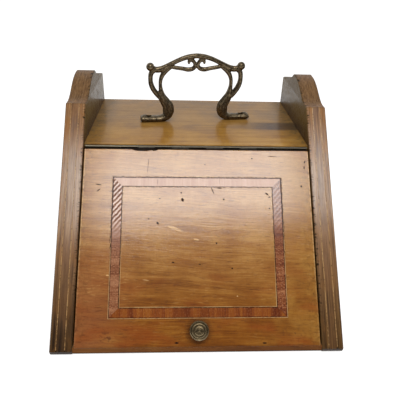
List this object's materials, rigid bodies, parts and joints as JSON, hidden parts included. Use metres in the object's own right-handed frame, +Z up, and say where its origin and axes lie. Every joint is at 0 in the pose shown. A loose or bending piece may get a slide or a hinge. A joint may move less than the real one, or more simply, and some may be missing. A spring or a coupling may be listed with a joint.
{
  "type": "coal scuttle",
  "caption": "Slope-front wooden coal box with inlaid hinged lid, shaped sides, fixed top board with cast carrying handle and a lift-out metal liner.",
  "frame": {"origin": "on the floor, below the middle of the whole box", "axes": "+X to the right seen from the lid side, +Y from the lid to the back, +Z up"},
  "size_m": [0.359, 0.3968, 0.2976],
  "materials": {
    "dark_mahogany": "aged french polish, dark and worn",
    "top_mahogany": "aged french polish",
    "lid_mahogany": "aged french polish, figured",
    "plain_wood": "unpolished",
    "boxwood": "polished stringing",
    "satinwood_banding": "polished cross-banded veneer",
    "dark_stringing": "polished dark stringing",
    "hinge_steel": "dull rolled steel",
    "screw_steel": "dull",
    "aged_brass": "dark antique patina",
    "knob_brass": "aged, rubbed",
    "japanned_steel": "black japanned sheet"
  },
  "bodies": {
    "carcase": {"back_board": "plain_wood", "base_board": "plain_wood", "carrying_handle": "aged_brass", "coal_liner": "japanned_steel", "grip_rivet_lower_left": "screw_steel", "grip_rivet_lower_right": "screw_steel", "grip_rivet_upper_left": "screw_steel", "grip_rivet_upper_right": "screw_steel", "handle_screw_left": "screw_steel", "handle_screw_right": "screw_steel", "hinge_board_leaf": "hinge_steel", "hinge_board_screw_1": "screw_steel", "hinge_board_screw_2": "screw_steel", "hinge_board_screw_3": "screw_steel", "hinge_board_screw_4": "screw_steel", "hinge_board_screw_5": "screw_steel", "hinge_pin": "hinge_steel", "left_glue_block": "plain_wood", "left_inner_string": "boxwood", "left_outer_string": "boxwood", "left_side_panel": "dark_mahogany", "liner_grip": "japanned_steel", "right_glue_block": "plain_wood", "right_inner_string": "boxwood", "right_outer_string": "boxwood", "right_side_panel": "dark_mahogany", "shovel_socket": "aged_brass", "socket_screw_lower_left": "screw_steel", "socket_screw_lower_right": "screw_steel", "socket_screw_upper_left": "screw_steel", "socket_screw_upper_right": "screw_steel", "top_board": "top_mahogany"},
    "lid": {"banding_bottom": "satinwood_banding", "banding_left": "satinwood_banding", "banding_right": "satinwood_banding", "banding_top": "satinwood_banding", "hinge_lid_leaf": "hinge_steel", "hinge_lid_screw_1": "screw_steel", "hinge_lid_screw_2": "screw_steel", "hinge_lid_screw_3": "screw_steel", "hinge_lid_screw_4": "screw_steel", "hinge_lid_screw_5": "screw_steel", "inner_line_bottom": "dark_stringing", "inner_line_left": "dark_stringing", "inner_line_right": "dark_stringing", "inner_line_top": "dark_stringing", "knob_screw": "screw_steel", "lid_knob": "knob_brass", "lid_panel": "lid_mahogany", "outer_line_bottom": "dark_stringing", "outer_line_left": "dark_stringing", "outer_line_right": "dark_stringing", "outer_line_top": "dark_stringing"}
  },
  "joints": [
    {"name": "lid_hinge", "type": "hinge", "parent": "carcase", "child": "lid", "pos_m": [0, -0.01197, 0.1948], "axis": [-1, 0, 0], "range_deg": [0, 145]}
  ]
}
